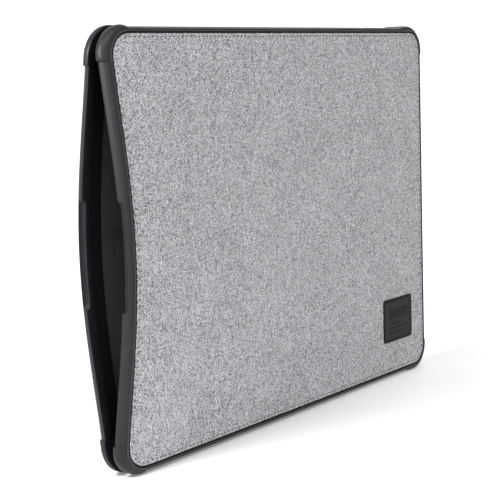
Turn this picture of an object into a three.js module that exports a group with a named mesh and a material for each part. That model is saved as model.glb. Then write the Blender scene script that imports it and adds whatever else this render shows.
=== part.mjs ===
// Slip-in sleeve for a tablet with its keyboard, or for a slim 13-inch laptop.
// Two padded fabric panels sit in a moulded rubber frame that is closed on three sides.
// The fourth side, a short one, is the mouth: its two lips bow apart and spring open for the device.
// The sleeve stands on its long edge: X runs from the mouth to the spine, Y from front to back, Z up.
// Inside this file a place is (u, y, h): u from the mouth edge, y from the middle plane, and h from
// the bottom of the rails. Every piece is drawn flat first and then bowed with its panel by settle().
import * as THREE from 'three';
import { mergeVertices } from 'three/addons/utils/BufferGeometryUtils.js';

// Overall sizes, in millimetres
const LENGTH = 326;          // mouth edge to spine edge, over the frame
const HEIGHT = 232;          // bottom rail to top rail, over the frame
const THICKNESS = 17.6;      // front fabric to back fabric along the rails
const CLEARANCE = 0.3;       // between pieces that butt together

// Panel layers, from the outside in
const COVER = 0.7;           // heathered fabric
const FOAM = 0.7;
const BOARD = 0.6;           // stiffener
const LINING = 0.4;
const FACING = 0.8;          // smooth strip inside the mouth
const GLUE = 0.2;            // between laminated layers

// Frame
const EDGE_INSET = 3.6;      // frame edge to fabric edge, along the rails
const MOUTH_INSET = 6.4;     // the same along the mouth
const FABRIC_RADIUS = 12;    // corner radius of the fabric
const GROOVE = 1.0;          // between the frame's rim and the fabric
const BEAD_SHARE = 0.8;      // share of the frame's width that is rounded over
const BEAD_DEPTH = 3.9;      // how far the rounding reaches round a rail
const FLANGE_REACH = 8.6;    // frame edge to the end of its sewing flange
const FLANGE_EASE = 0.4;     // from there to the foam, board and lining
const BUMPER_PROUD = 1.1;    // corner bumpers beyond the rails
const BUMPER_LEG = 1.8;      // straight leg of a bumper past its corner, on a short side
const BUMPER_LEG_SPINE = 4.4; // the same along a long side, at the spine
const RAMP_MOUTH = 4;        // how gently a bumper runs out into its rail
const RAMP_SPINE = 8;

// Mouth
const LIP_DEPTH = 5.1;       // thickness of a lip
const MOUTH_GAP = 4.5;       // between the lips at their two ends
const SLIT_START = 3.4;      // slit between two bumpers at the mouth, and at its inner end
const SLIT_END = 2.4;
const MOUTH_BOW = 10.8;      // how far each lip bows out at mid height
const BOW_POWER = 1.31;      // shape of the bow along the lip
const BOW_REACH = 190;       // how far into the sleeve the bow fades
const FACING_REACH = 15.6;     // mouth edge to the end of the strip inside the mouth
const FACING_EDGE = 0.9;       // mouth edge to where the strip starts
const FACING_EDGE_SCOOP = 3.4; // the same, behind the thumb scoop
const FACING_EASE = 0.1;       // between the strip and the seat cut for it in the lip
const FACING_MARGIN = 2;       // how far the strip's notch runs past each end of the scoop
const FACING_JOG = 1.1;        // length of its step from the lip down to the lining
const FOLD_PAST_RAMP = 3.5;  // bumper ramp to the line on which a mouth section flexes
const FOLD_GAP = 2;          // between the pieces on either side of that line
const FLANGE_SHORT = 3;      // how far a lip's flange stops short of that gap
const SCOOP_LENGTH = 57;     // thumb scoop at mid height of each lip
const SCOOP_RAMP = 4;
const SCOOP_DEPTH = 3.0;     // at the mouth edge
const SCOOP_REACH = 2.6;     // into the sleeve
const SCOOP_STEP = 0.6;      // small wall at its inner end

// Label and edge cushions
const LABEL = { width: 37.5, height: 29, fromSpine: 20.5, fromBottom: 23.8, radius: 1.6, proud: 0.6 };
const CUSHION = 5.6;         // thickness of the foam strip inside a rail
const CUSHION_SET_BACK = 0.1; // its face to the end of the flanges

// Sizes worked out from those above
const HALF = THICKNESS / 2;
const STACK = COVER + GLUE + FOAM + GLUE + BOARD + GLUE + LINING;
const FLANGE_OUT = HALF - COVER - GLUE;
const FLANGE_IN = FLANGE_OUT - FOAM - GLUE - BOARD;
const INNER_INSET = FLANGE_REACH + FLANGE_EASE;
const CUSHION_FACE = FLANGE_REACH - CUSHION_SET_BACK;
const CHANNEL_FLOOR = CUSHION_FACE - CUSHION - CLEARANCE;
const CORNER_H = FABRIC_RADIUS + EDGE_INSET;
const CORNER_MOUTH = FABRIC_RADIUS + MOUTH_INSET;
const CORNER_SPINE = FABRIC_RADIUS + EDGE_INSET;
const BUMPER_FOOT = CORNER_H + BUMPER_LEG;
const BUMPER_TOP_MOUTH = CORNER_MOUTH + RAMP_MOUTH;
const BUMPER_TOP_SPINE = CORNER_SPINE + BUMPER_LEG_SPINE + RAMP_SPINE;
const FOLD_U = BUMPER_TOP_MOUTH + FOLD_PAST_RAMP;
const FLAP_END = FOLD_U - FOLD_GAP / 2;
const MAIN_START = FOLD_U + FOLD_GAP / 2;
const LIP_FLANGE = FLAP_END - FLANGE_SHORT;
const PINCH = HALF - LIP_DEPTH - MOUTH_GAP / 2;

// Fineness of the solids
const ROWS = 18;             // up a panel
const PANEL_STEP = 29;       // longest facet along a panel
const ARC_STEPS = 4;         // round a corner
const BEAD_STEPS = 4;        // round a rail's edge

const clamp01 = (value) => Math.min(1, Math.max(0, value));
const lerp = (a, b, t) => a + (b - a) * t;

// How far a panel stands off its flat plane at a place: the bow of the open mouth, less the lean of
// the mouth section towards the middle.
function bowOut(u, h) {
  const along = clamp01((h - INNER_INSET) / (HEIGHT - 2 * INNER_INSET));
  const bow = MOUTH_BOW * Math.sin(Math.PI * along) ** BOW_POWER * Math.max(0, 1 - u / BOW_REACH) ** 2;
  return bow - PINCH * Math.max(0, 1 - u / FOLD_U);
}

// Flat place (u, y, h) to its place in the part's frame.
function settle(u, y, h) {
  return [u - LENGTH / 2, y + Math.sign(y) * bowOut(u, h), h + BUMPER_PROUD];
}

// One closed body with merged corners and its faces pointing out.
function closed(geometry) {
  geometry.deleteAttribute('normal');
  geometry.deleteAttribute('uv');
  const solid = mergeVertices(geometry, 1e-4);
  const index = solid.getIndex();
  const position = solid.getAttribute('position');
  const [a, b, c] = [new THREE.Vector3(), new THREE.Vector3(), new THREE.Vector3()];
  let volume = 0;
  for (let i = 0; i < index.count; i += 3) {
    [a, b, c].forEach((corner, k) => corner.fromBufferAttribute(position, index.getX(i + k)));
    volume += a.dot(b.cross(c));
  }
  if (volume < 0) {
    for (let i = 0; i < index.count; i += 3) {
      const first = index.getX(i);
      index.setX(i, index.getX(i + 1));
      index.setX(i + 1, first);
    }
  }
  return solid;
}

// Move every corner of a geometry.
function reshape(geometry, move) {
  const position = geometry.getAttribute('position');
  for (let i = 0; i < position.count; i++) {
    position.setXYZ(i, ...move(position.getX(i), position.getY(i), position.getZ(i)));
  }
  return closed(geometry);
}

// Height of an outline's lower edge at u, for a rounded outline inset by different amounts.
function lowerEdge(u, inset) {
  const rise = CORNER_H - inset.edge;
  const mouthRun = CORNER_MOUTH - inset.mouth;
  const spineRun = CORNER_SPINE - inset.spine;
  const into = Math.max((CORNER_MOUTH - u) / mouthRun, (u - LENGTH + CORNER_SPINE) / spineRun, 0);
  return CORNER_H - rise * Math.sqrt(Math.max(0, 1 - Math.min(1, into) ** 2));
}

// Angles from 0 to a quarter turn.
const quarter = Array.from({ length: ARC_STEPS + 1 }, (_, k) => (k / ARC_STEPS) * Math.PI / 2);

// Places along u for a panel layer: close together round a corner, even along the straight.
function columns(from, to, inset) {
  const mouthArc = quarter.map((turn) => CORNER_MOUTH - (CORNER_MOUTH - inset.mouth) * Math.cos(turn));
  const spineArc = quarter.map((turn) => LENGTH - CORNER_SPINE + (CORNER_SPINE - inset.spine) * Math.sin(turn));
  const head = from < CORNER_MOUTH ? mouthArc : [from];
  const tail = to > LENGTH - CORNER_SPINE ? spineArc : [to];
  const count = Math.ceil((tail[0] - head.at(-1)) / PANEL_STEP);
  const between = Array.from({ length: count - 1 }, (_, k) => lerp(head.at(-1), tail[0], (k + 1) / count));
  return [...head, ...between, ...tail];
}

// A layer of a panel: a thin sheet of thickness outer - inner, from u = from to u = to.
function layer(side, outer, inner, from, to, inset) {
  const places = columns(from, to, inset);
  const box = new THREE.BoxGeometry(1, 1, 1, places.length - 1, 1, ROWS);
  return reshape(box, (x, y, z) => {
    const u = places[Math.round((x + 0.5) * (places.length - 1))];
    const low = lowerEdge(u, inset);
    const h = lerp(low, HEIGHT - low, z + 0.5);
    return settle(u, side * (y > 0 ? outer : inner), h);
  });
}

// Stations of the frame. Each has its place on the frame's outer edge, the way in from there, the
// width from there to the fabric, and how far a bumper stands proud.
const topStation = (u, proud = 0) => ({ u, h: HEIGHT, inU: 0, inH: -1, width: EDGE_INSET, proud });
const mouthStation = (h, proud = 0) => ({ u: 0, h, inU: 1, inH: 0, width: MOUTH_INSET, proud });
const spineStation = (h, proud = 0) => ({ u: LENGTH, h, inU: -1, inH: 0, width: EDGE_INSET, proud });

// Stations round the upper corner at one end, from the long side to the short side.
function cornerStations(end, proud = 0) {
  const run = end === 'mouth' ? CORNER_MOUTH : CORNER_SPINE;
  const centre = new THREE.Vector2(end === 'mouth' ? run : LENGTH - run, HEIGHT - CORNER_H);
  return quarter.map((turn) => {
    const out = new THREE.Vector2(Math.sin(turn) * (end === 'mouth' ? -1 : 1), Math.cos(turn));
    const edge = centre.clone().add(new THREE.Vector2(run * out.x, CORNER_H * out.y));
    const inward = centre.clone().addScaledVector(out, FABRIC_RADIUS).sub(edge);
    const width = inward.length();
    return { u: edge.x, h: edge.y, inU: inward.x / width, inH: inward.y / width, width, proud };
  });
}

// The same stations at the lower edge.
const flipped = (stations) => stations.map((s) => ({ ...s, h: HEIGHT - s.h, inH: -s.inH }));

// A section of (distance in from the frame's edge, y), carried along stations.
function sweep(section, stations) {
  const first = section(stations[0]);
  const shape = new THREE.Shape(first.map(([d, y]) => new THREE.Vector2(d, y)));
  const steps = stations.length - 1;
  const solid = new THREE.ExtrudeGeometry(shape, { depth: steps, steps, bevelEnabled: false });
  return reshape(solid, (x, y, z) => {
    const station = stations[Math.round(z)];
    const corner = first.findIndex(([d, across]) => Math.hypot(d - x, across - y) < 1e-3);
    const [d, across] = section(station)[corner];
    return settle(station.u + station.inU * d, across, station.h + station.inH * d);
  });
}

// The rounded outer edge on one side, from the rim round to the edge: quarter of an ellipse.
function bead(side, station, depth) {
  const rim = station.width - GROOVE;
  const run = rim * BEAD_SHARE;
  const points = [[rim, side * HALF]];
  for (let k = 0; k <= BEAD_STEPS; k++) {
    const angle = (k / BEAD_STEPS) * Math.PI / 2;
    const d = run * (1 - Math.sin(angle));
    points.push([d - station.proud * (1 - d / rim), side * (HALF - depth * (1 - Math.cos(angle)))]);
  }
  return points;
}

// Full-thickness section of a rail: a channel whose two flanges take the panels.
function railSection(station) {
  const rim = station.width - GROOVE;
  const flange = (side) => [
    [CHANNEL_FLOOR, side * FLANGE_IN], [FLANGE_REACH, side * FLANGE_IN],
    [FLANGE_REACH, side * FLANGE_OUT], [rim, side * FLANGE_OUT],
  ];
  return [
    ...bead(-1, station, BEAD_DEPTH), ...bead(1, station, BEAD_DEPTH).reverse(),
    ...flange(1).reverse(), ...flange(-1),
  ];
}

// Section of a spine bumper: the same outside, solid inside.
function blockSection(station) {
  const rim = station.width - GROOVE;
  return [
    ...bead(-1, station, BEAD_DEPTH), ...bead(1, station, BEAD_DEPTH).reverse(),
    [rim, FLANGE_OUT], [FLANGE_REACH, FLANGE_OUT], [FLANGE_REACH, -FLANGE_OUT], [rim, -FLANGE_OUT],
  ];
}

// Section of half a bumper at the mouth, on one side of the slit.
const halfBlockSection = (side) => (station) => {
  const rim = station.width - GROOVE;
  const slit = lerp(SLIT_START, SLIT_END, clamp01(station.u / FOLD_U)) / 2;
  const innerFace = slit + PINCH * Math.max(0, 1 - station.u / FOLD_U);
  return [
    ...bead(side, station, BEAD_DEPTH),
    [-station.proud, side * innerFace], [FLANGE_REACH, side * (slit + PINCH)],
    [FLANGE_REACH, side * FLANGE_OUT], [rim, side * FLANGE_OUT],
  ];
};

// Mouth edge to the strip's seat at a height: further in behind the scoop.
function facingEdge(h) {
  const past = SCOOP_LENGTH / 2 + FACING_MARGIN - Math.abs(h - HEIGHT / 2);
  return lerp(FACING_EDGE, FACING_EDGE_SCOOP, clamp01(past / SCOOP_RAMP));
}

// Section of a lip: the bead, its inner face with the thumb scoop and the strip's seat, and the flange.
const lipSection = (side) => (station) => {
  const rim = station.width - GROOVE;
  const run = rim * BEAD_SHARE;
  const inner = HALF - LIP_DEPTH;
  const seat = inner + FACING + FACING_EASE;
  const edge = facingEdge(station.h);
  const ends = Math.abs(station.h - HEIGHT / 2) - SCOOP_LENGTH / 2;
  const scoop = clamp01(-ends / SCOOP_RAMP);
  const curve = [0, 1, 2, 3, 4, 5].map((k) => {
    const angle = (k / 5) * Math.PI / 2;
    return [run * (1 - Math.cos(angle)), inner + LIP_DEPTH * Math.sin(angle)];
  });
  const deep = [curve[2][0], inner + SCOOP_DEPTH];
  const foot = [SCOOP_REACH, inner + SCOOP_STEP];
  const onChamfer = (t) => [lerp(foot[0], deep[0], t), lerp(foot[1], deep[1], t)];
  const cut = (from, to) => [lerp(from[0], to[0], scoop), lerp(from[1], to[1], scoop)];
  const points = [
    [rim, seat], [edge, seat], [edge, inner], cut([FACING_EDGE * 0.7, inner], [SCOOP_REACH + 0.3, inner]),
    cut([FACING_EDGE * 0.4, inner], onChamfer(0)),
    cut(curve[0], onChamfer(0.4)), cut(curve[1], onChamfer(0.7)), cut(curve[2], onChamfer(1)),
    ...curve.slice(3),
    [rim, HALF], [rim, FLANGE_OUT], [LIP_FLANGE, FLANGE_OUT], [LIP_FLANGE, FLANGE_IN], [rim, FLANGE_IN],
  ];
  return points.map(([d, y]) => [d, side * y]);
};

// Section of the strip inside the mouth: flush in the lip's seat, then a step down onto the lining.
const facingSection = (side, onLining) => (station) => {
  const onLip = HALF - LIP_DEPTH + FACING;
  const start = facingEdge(station.h) + FACING_EASE;
  const jog = station.width - GROOVE + CLEARANCE;
  const outer = [[start, onLip], [jog, onLip], [jog + FACING_JOG, onLining], [FACING_REACH, onLining]];
  const inner = outer.map(([d, y]) => [d, y - FACING]).reverse();
  return [...outer, ...inner].map(([d, y]) => [d, side * y]);
};

// Section of the seam welt that fills the groove between frame and fabric.
const weltSection = (side) => (station) => {
  const [near, far] = [station.width - GROOVE + 0.1, station.width - 0.1];
  const [outer, inner] = [side * (HALF - 0.3), side * (FLANGE_OUT + 0.15)];
  return [[near, outer], [near, inner], [far, inner], [far, outer]];
};

// Heights of the lip's stations: even, with the corners of the scoop and of the strip's notch added.
function lipHeights() {
  const [low, high] = [BUMPER_FOOT + CLEARANCE, HEIGHT - BUMPER_FOOT - CLEARANCE];
  const middle = HEIGHT / 2;
  const ends = [SCOOP_LENGTH / 2 - SCOOP_RAMP, SCOOP_LENGTH / 2];
  const corners = [...ends, ...ends.map((reach) => reach + FACING_MARGIN)];
  const heights = corners.flatMap((reach) => [middle - reach, middle + reach]);
  for (let k = 0; k <= ROWS - 2; k++) heights.push(lerp(low, high, k / (ROWS - 2)));
  heights.sort((a, b) => a - b);
  return heights.filter((h, i) => i === 0 || h - heights[i - 1] > 0.5);
}

// Materials
const finish = (color, roughness, metalness = 0) => new THREE.MeshStandardMaterial({ color, roughness, metalness });
const rubber = finish(0x3b3c3e, 0.55);
const bumperRubber = finish(0x424345, 0.5);
const fabric = finish(0xa8a9ab, 0.95);
const felt = finish(0x29292b, 1);
const smooth = finish(0x0c0d10, 0.6);
const eva = finish(0x1c1c1e, 0.9);
const boardFinish = finish(0x6d655a, 0.8);
const labelFinish = finish(0x373a39, 0.5);

const sleeve = new THREE.Group();
function add(name, geometry, material) {
  const mesh = new THREE.Mesh(geometry, material);
  mesh.name = name;
  sleeve.add(mesh);
}

const coverInset = { mouth: MOUTH_INSET, spine: EDGE_INSET, edge: EDGE_INSET };
const innerInset = { mouth: INNER_INSET, spine: INNER_INSET, edge: INNER_INSET };

// Rails, closed on the top, the bottom and the spine
const railEnd = LENGTH - BUMPER_TOP_SPINE - CLEARANCE;
const topStations = [topStation(MAIN_START), topStation(railEnd)];
const spineStations = [BUMPER_FOOT + CLEARANCE, HEIGHT - BUMPER_FOOT - CLEARANCE].map((h) => spineStation(h));
add('top_rail', sweep(railSection, topStations), rubber);
add('bottom_rail', sweep(railSection, flipped(topStations)), rubber);
add('spine_rail', sweep(railSection, spineStations), rubber);

// Spine bumpers
const spineBumper = [
  topStation(LENGTH - BUMPER_TOP_SPINE),
  topStation(LENGTH - BUMPER_TOP_SPINE + RAMP_SPINE, BUMPER_PROUD),
  ...cornerStations('spine', BUMPER_PROUD),
  spineStation(HEIGHT - BUMPER_FOOT, BUMPER_PROUD),
];
add('spine_top_bumper', sweep(blockSection, spineBumper), bumperRubber);
add('spine_bottom_bumper', sweep(blockSection, flipped(spineBumper)), bumperRubber);

// Edge cushions inside the rails
function cushion(uFrom, uTo, hFrom, hTo) {
  const box = new THREE.BoxGeometry(1, 1, 1);
  const halfWidth = FLANGE_IN - CLEARANCE;
  return reshape(box, (x, y, z) => settle(
    lerp(uFrom, uTo, x + 0.5), 2 * y * halfWidth, lerp(hFrom, hTo, z + 0.5)));
}
const cushionBack = CHANNEL_FLOOR + CLEARANCE;
add('top_edge_cushion', cushion(MAIN_START, railEnd, HEIGHT - CUSHION_FACE, HEIGHT - cushionBack), eva);
add('bottom_edge_cushion', cushion(MAIN_START, railEnd, cushionBack, CUSHION_FACE), eva);
add('spine_edge_cushion',
  cushion(LENGTH - CUSHION_FACE, LENGTH - cushionBack, ...spineStations.map((s) => s.h)), eva);

// Front and back panels with their mouth sections
const mouthBumper = [
  topStation(FLAP_END), topStation(BUMPER_TOP_MOUTH),
  ...cornerStations('mouth', BUMPER_PROUD),
  mouthStation(HEIGHT - BUMPER_FOOT, BUMPER_PROUD),
];
const lipStations = lipHeights().map((h) => mouthStation(h));
const weltMain = [topStation(MAIN_START), ...cornerStations('spine')];
const weltMouth = [topStation(FLAP_END), ...cornerStations('mouth')];
const round = (stations) => [...stations, ...flipped(stations).reverse()];
const weltRows = lipStations.filter(({ h }) => h > CORNER_H + 1 && h < HEIGHT - CORNER_H - 1).reverse();
const foamOut = HALF - COVER - GLUE;
const boardOut = foamOut - FOAM - GLUE;
const liningOut = boardOut - BOARD - GLUE;
const facingOut = liningOut - LINING - GLUE;

for (const [face, side] of [['front', -1], ['back', 1]]) {
  add(`${face}_cover`, layer(side, HALF, HALF - COVER, MAIN_START, LENGTH, coverInset), fabric);
  add(`${face}_foam`, layer(side, foamOut, foamOut - FOAM, MAIN_START, LENGTH, innerInset), eva);
  add(`${face}_board`, layer(side, boardOut, boardOut - BOARD, MAIN_START, LENGTH, innerInset), boardFinish);
  add(`${face}_lining`, layer(side, liningOut, liningOut - LINING, MAIN_START, LENGTH, innerInset), felt);
  add(`${face}_seam_welt`, sweep(weltSection(side), round(weltMain)), smooth);

  add(`${face}_mouth_cover`, layer(side, HALF, HALF - COVER, 0, FLAP_END, coverInset), fabric);
  add(`${face}_mouth_lining`, layer(side, liningOut, liningOut - LINING, 0, FLAP_END, innerInset), felt);
  add(`${face}_mouth_welt`,
    sweep(weltSection(side), [...weltMouth, ...weltRows, ...flipped(weltMouth).reverse()]), smooth);
  add(`${face}_lip`, sweep(lipSection(side), lipStations), rubber);
  add(`${face}_mouth_facing`, sweep(facingSection(side, facingOut), lipStations), smooth);
  add(`${face}_mouth_top_bumper`, sweep(halfBlockSection(side), mouthBumper), bumperRubber);
  add(`${face}_mouth_bottom_bumper`, sweep(halfBlockSection(side), flipped(mouthBumper)), bumperRubber);
}

// Label patch, low on the front near the spine
function labelPatch() {
  const { width, height, fromSpine, fromBottom, radius, proud } = LABEL;
  const [left, low] = [LENGTH - fromSpine - width, fromBottom];
  const outline = new THREE.Shape();
  outline.moveTo(radius, 0).lineTo(width - radius, 0);
  outline.absarc(width - radius, radius, radius, -Math.PI / 2, 0);
  outline.absarc(width - radius, height - radius, radius, 0, Math.PI / 2);
  outline.absarc(radius, height - radius, radius, Math.PI / 2, Math.PI);
  outline.absarc(radius, radius, radius, Math.PI, 1.5 * Math.PI);
  const plate = new THREE.ExtrudeGeometry(outline, { depth: proud, bevelEnabled: false, curveSegments: 3 });
  return reshape(plate, (x, y, z) => settle(left + x, -HALF - GLUE - z, low + y));
}
add('label_patch', labelPatch(), labelFinish);

export default sleeve;
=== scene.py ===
"""Looks of a slip-in sleeve: fabric panels in a moulded rubber frame, built round its packed design.

A place on the sleeve is (u, y, h), in metres: u from the mouth edge towards the spine, y from the middle
plane out to the front (negative) or the back (positive), and h up from the underside of the rails.
Everything is drawn flat first, and settle() then bows it with the open mouth.
"""

import math

import bmesh
import bpy
import numpy as np
from mathutils import Matrix, Vector


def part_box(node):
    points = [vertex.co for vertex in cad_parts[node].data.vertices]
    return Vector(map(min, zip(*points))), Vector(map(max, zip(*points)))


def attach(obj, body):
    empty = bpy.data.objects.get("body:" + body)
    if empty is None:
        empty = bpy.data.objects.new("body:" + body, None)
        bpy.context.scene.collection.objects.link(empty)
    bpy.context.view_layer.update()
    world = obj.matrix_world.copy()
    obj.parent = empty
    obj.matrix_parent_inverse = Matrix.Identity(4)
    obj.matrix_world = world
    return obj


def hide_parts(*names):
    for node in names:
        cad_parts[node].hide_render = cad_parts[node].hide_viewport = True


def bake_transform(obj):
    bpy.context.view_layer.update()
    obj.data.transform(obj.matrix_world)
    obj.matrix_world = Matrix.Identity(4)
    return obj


bl_info = {
    "name": "Slip-in Sleeve",
    "version": (1, 0, 0),
    "blender": (4, 5, 0),
    "location": "View3D > Sidebar > Sleeve",
    "description": "Builds a padded fabric sleeve with a rubber frame and a springy mouth",
    "category": "Add Mesh",
}

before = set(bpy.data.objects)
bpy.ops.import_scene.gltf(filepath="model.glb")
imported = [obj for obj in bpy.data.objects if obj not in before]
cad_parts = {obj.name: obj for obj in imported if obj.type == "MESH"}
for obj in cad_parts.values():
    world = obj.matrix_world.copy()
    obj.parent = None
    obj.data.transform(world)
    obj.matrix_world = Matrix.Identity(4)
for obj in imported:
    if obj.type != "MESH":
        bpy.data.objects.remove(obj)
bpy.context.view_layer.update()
MM = 0.001

# Sizes read from the design
MOUTH_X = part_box("front_lip")[0].x
FOOT_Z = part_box("bottom_rail")[0].z
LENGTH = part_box("spine_rail")[1].x - MOUTH_X
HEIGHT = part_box("top_rail")[1].z - FOOT_Z
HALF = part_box("spine_rail")[1].y
PROUD = FOOT_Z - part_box("spine_bottom_bumper")[0].z
EDGE_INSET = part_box("front_cover")[0].z - FOOT_Z
MOUTH_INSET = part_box("front_mouth_cover")[0].x - MOUTH_X
FLAP_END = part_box("front_mouth_cover")[1].x - MOUTH_X
MAIN_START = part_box("front_cover")[0].x - MOUTH_X
FOLD = (FLAP_END + MAIN_START) / 2
BUMPER_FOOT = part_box("front_mouth_bottom_bumper")[1].z - FOOT_Z
SPINE_RUNOUT = LENGTH - (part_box("spine_bottom_bumper")[0].x - MOUTH_X)
LINING_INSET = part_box("front_lining")[0].z - FOOT_Z
FACING_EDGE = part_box("front_mouth_facing")[0].x - MOUTH_X
FACING_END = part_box("front_mouth_facing")[1].x - MOUTH_X
CUSHION_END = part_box("top_edge_cushion")[1].x - MOUTH_X
CUSHION_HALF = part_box("spine_edge_cushion")[1].y
CUSHION_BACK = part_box("bottom_edge_cushion")[0].z - FOOT_Z
CUSHION_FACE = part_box("bottom_edge_cushion")[1].z - FOOT_Z
FACES = (("front", -1), ("back", 1))

# Places in the list of a frame section's points: the end of its inner face, the foot of the scoop's
# floor, the scoop's crest, the top of the bead and the end of the rim
INNER_FACE, SCOOP_FLOOR, CREST, BEAD_END, RIM_END = 6, 7, 14, 24, 28

# Small sizes that follow the design
SLIT_EASE = 0.4 * MM  # how far before a lip's end its slit starts to close
CUSHION_SLACK = 0.35 * MM  # half the room left under a cushion's face for its fullness
CUSHION_CORNER = 1.4 * MM
TACK_PITCH = 30 * MM  # from one tack of a cushion to the next
CREASE_U, CREASE_H = 30 * MM, 0.53 * HEIGHT  # middle of the creased patch in a lining
LABEL_MARKS = (  # left, right, bottom and top of each bar, as shares of the patch
    (0.21, 0.84, 0.53, 0.76), (0.21, 0.62, 0.395, 0.44), (0.21, 0.84, 0.29, 0.335), (0.21, 0.72, 0.185, 0.23))


# ---------------------------------------------------------------- settings

def length(name, description, default):
    return bpy.props.FloatProperty(
        name=name, description=description, default=default, unit="LENGTH", precision=5)


def ratio(name, description, default):
    return bpy.props.FloatProperty(name=name, description=description, default=default)


def colour(name, description, default):
    return bpy.props.FloatVectorProperty(
        name=name, description=description, default=default, subtype="COLOR", size=3, min=0, max=1)


class SleeveMouth(bpy.types.PropertyGroup):
    """How the mouth stands open."""
    bow: length("Bow", "How far each lip bows out at mid height", 10.8 * MM)
    power: ratio("Bow shape", "Power of the sine along the lip", 1.31)
    reach: length("Bow reach", "How far into the sleeve the bow fades", 190 * MM)
    pinch: length("Pinch", "How far the mouth section leans in at its ends", 1.45 * MM)
    pinch_ease: ratio("Pinch ease", "Softness of the bend at the fold line", 0.2)
    slit_start: length("Slit at the mouth", "Between the two halves of a bumper, at the mouth", 4.0 * MM)
    slit_end: length("Slit at its end", "The same, at the inner end", 2.4 * MM)
    lip_depth: length("Lip depth", "Thickness of a lip", 5.1 * MM)
    lip_flange: length("Lip flange", "Mouth edge to the end of the lip's flange", 21.9 * MM)
    scoop_length: length("Scoop length", "Thumb scoop along the lip", 57 * MM)
    scoop_ramp: length("Scoop ramp", "Length of each arched end of the scoop", 4 * MM)
    scoop_depth: length("Scoop depth", "Depth of the scoop at the mouth edge", 3 * MM)
    scoop_reach: length("Scoop reach", "How far the scoop runs into the sleeve", 2.6 * MM)
    scoop_step: length("Scoop step", "Wall at the scoop's inner end", 0.6 * MM)


class SleeveFrame(bpy.types.PropertyGroup):
    """Sections of the rubber frame."""
    fabric_radius: length("Fabric radius", "Corner radius of the fabric", 12 * MM)
    groove: length("Groove", "Between the frame's rim and the fabric", 1.0 * MM)
    bead_share: ratio("Bead share", "Share of the frame's width that is rounded over", 0.8)
    bead_depth: length("Bead depth", "How far the rounding reaches round a rail", 3.9 * MM)
    flange_reach: length("Flange reach", "Frame edge to the end of the sewing flange", 8.6 * MM)
    flange_outer: length("Flange outside", "Middle plane to the flange's outside", 7.9 * MM)
    flange_inner: length("Flange inside", "Middle plane to the flange's inside", 6.4 * MM)
    channel: length("Channel floor", "Frame edge to the floor of the channel", 2.6 * MM)
    ramp_mouth: length("Mouth ramp", "Run-out of a mouth bumper along its rail", 2.8 * MM)
    ramp_early: length("Ramp start", "How far before the end of the corner that run-out starts", 1.1 * MM)
    bumper_lift: length("Bumper lift", "How far a bumper stands off the face of its bead", 0.28 * MM)
    ramp_spine: length("Spine ramp", "Run-out of a spine bumper along its rail", 8 * MM)
    step: length("Step", "Length of the step at a bumper's foot", 0.6 * MM)
    back_foot: length("Back foot", "How much longer a back bumper runs along the mouth", 2.0 * MM)
    spine_step: length("Spine step", "The same on the spine", 1.6 * MM)
    edge_round: length("Edge rounding", "Rounding of the inner edges", 0.5 * MM)
    parting: length("Parting line", "Half the groove between the two half frames", 0.07 * MM)
    tight: length("Tight fit", "Half the gap where the half frames meet", 0.002 * MM)
    welt_drop: length("Welt drop", "How far the welt lies below the rim", 0.14 * MM)


class SleevePanels(bpy.types.PropertyGroup):
    """Fabric panels, linings and stitches."""
    cover: length("Cover", "Thickness of the fabric at its turned edge", 0.7 * MM)
    fold_radius: length("Fold radius", "Rounding of the turned edge", 0.36 * MM)
    seam_inset: length("Seam inset", "Fabric edge to the stitch line", 1.8 * MM)
    seam_depth: length("Seam depth", "How deep the stitches pull the fabric in", 0.2 * MM)
    seam_width: length("Seam width", "Spread of that channel", 0.45 * MM)
    crown: length("Crown", "How far the foam fills the panel out", 0.12 * MM)
    lining_outer: length("Lining outside", "Middle plane to the back of the lining", 6.2 * MM)
    lining: length("Lining", "Thickness of the lining", 0.4 * MM)
    wrinkle: length("Wrinkles", "Height of the faint wrinkles in the lining", 0.3 * MM)
    facing_outer: length("Facing outside", "Middle plane to the back of the facing", 5.6 * MM)
    facing: length("Facing", "Thickness of the facing", 0.8 * MM)
    facing_ease: length("Facing ease", "Between the facing and the seat cut for it in the lip", 0.1 * MM)
    facing_scoop: length("Facing behind the scoop", "Mouth edge to the facing, behind the scoop", 3.4 * MM)
    facing_margin: length("Facing margin", "How far its notch runs past each end of the scoop", 2 * MM)
    facing_jog: length("Facing jog", "Length of its step from the lip down to the lining", 1.1 * MM)
    stitch_pitch: length("Stitch pitch", "From one stitch to the next", 3.6 * MM)
    stitch_length: length("Stitch length", "Length of the thread that shows", 2.5 * MM)
    thread_radius: length("Thread radius", "Radius of the sewing thread", 0.21 * MM)
    yarn: length("Yarn pitch", "From one yarn of the weave to the next", 0.44 * MM)
    label_radius: length("Label corner", "Corner radius of the label patch", 1.8 * MM)
    label_border: length("Label border", "Width of the patch's raised border", 2.6 * MM)
    seed: bpy.props.IntProperty(name="Seed", description="Seed of the small differences", default=4)


class SleeveColours(bpy.types.PropertyGroup):
    """Colours of the sleeve and its stage."""
    rubber: colour("Rubber", "Frame and bumpers", (0.0185, 0.020, 0.022))
    yarn_light: colour("Light yarn", "Lighter yarn of the heather", (0.70, 0.71, 0.735))
    yarn_dark: colour("Dark yarn", "Darker yarn of the heather", (0.055, 0.058, 0.064))
    thread: colour("Thread", "Sewing thread", (0.50, 0.51, 0.52))
    lining: colour("Lining", "Brushed lining", (0.080, 0.081, 0.092))
    # The facing colour is also laid on the frame's rubber inside the mouth and on the scoop floors, as
    # painted shade.
    facing: colour("Facing", "Smooth strip inside the mouth", (0.0055, 0.006, 0.008))
    welt: colour("Welt", "Seam welt in the groove", (0.006, 0.006, 0.007))
    label: colour("Label", "Label patch", (0.034, 0.037, 0.034))
    foam: colour("Foam", "Padding", (0.014, 0.014, 0.015))
    board: colour("Board", "Stiffener", (0.16, 0.14, 0.11))
    floor: colour("Floor", "Studio floor", (0.86, 0.86, 0.86))


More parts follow.
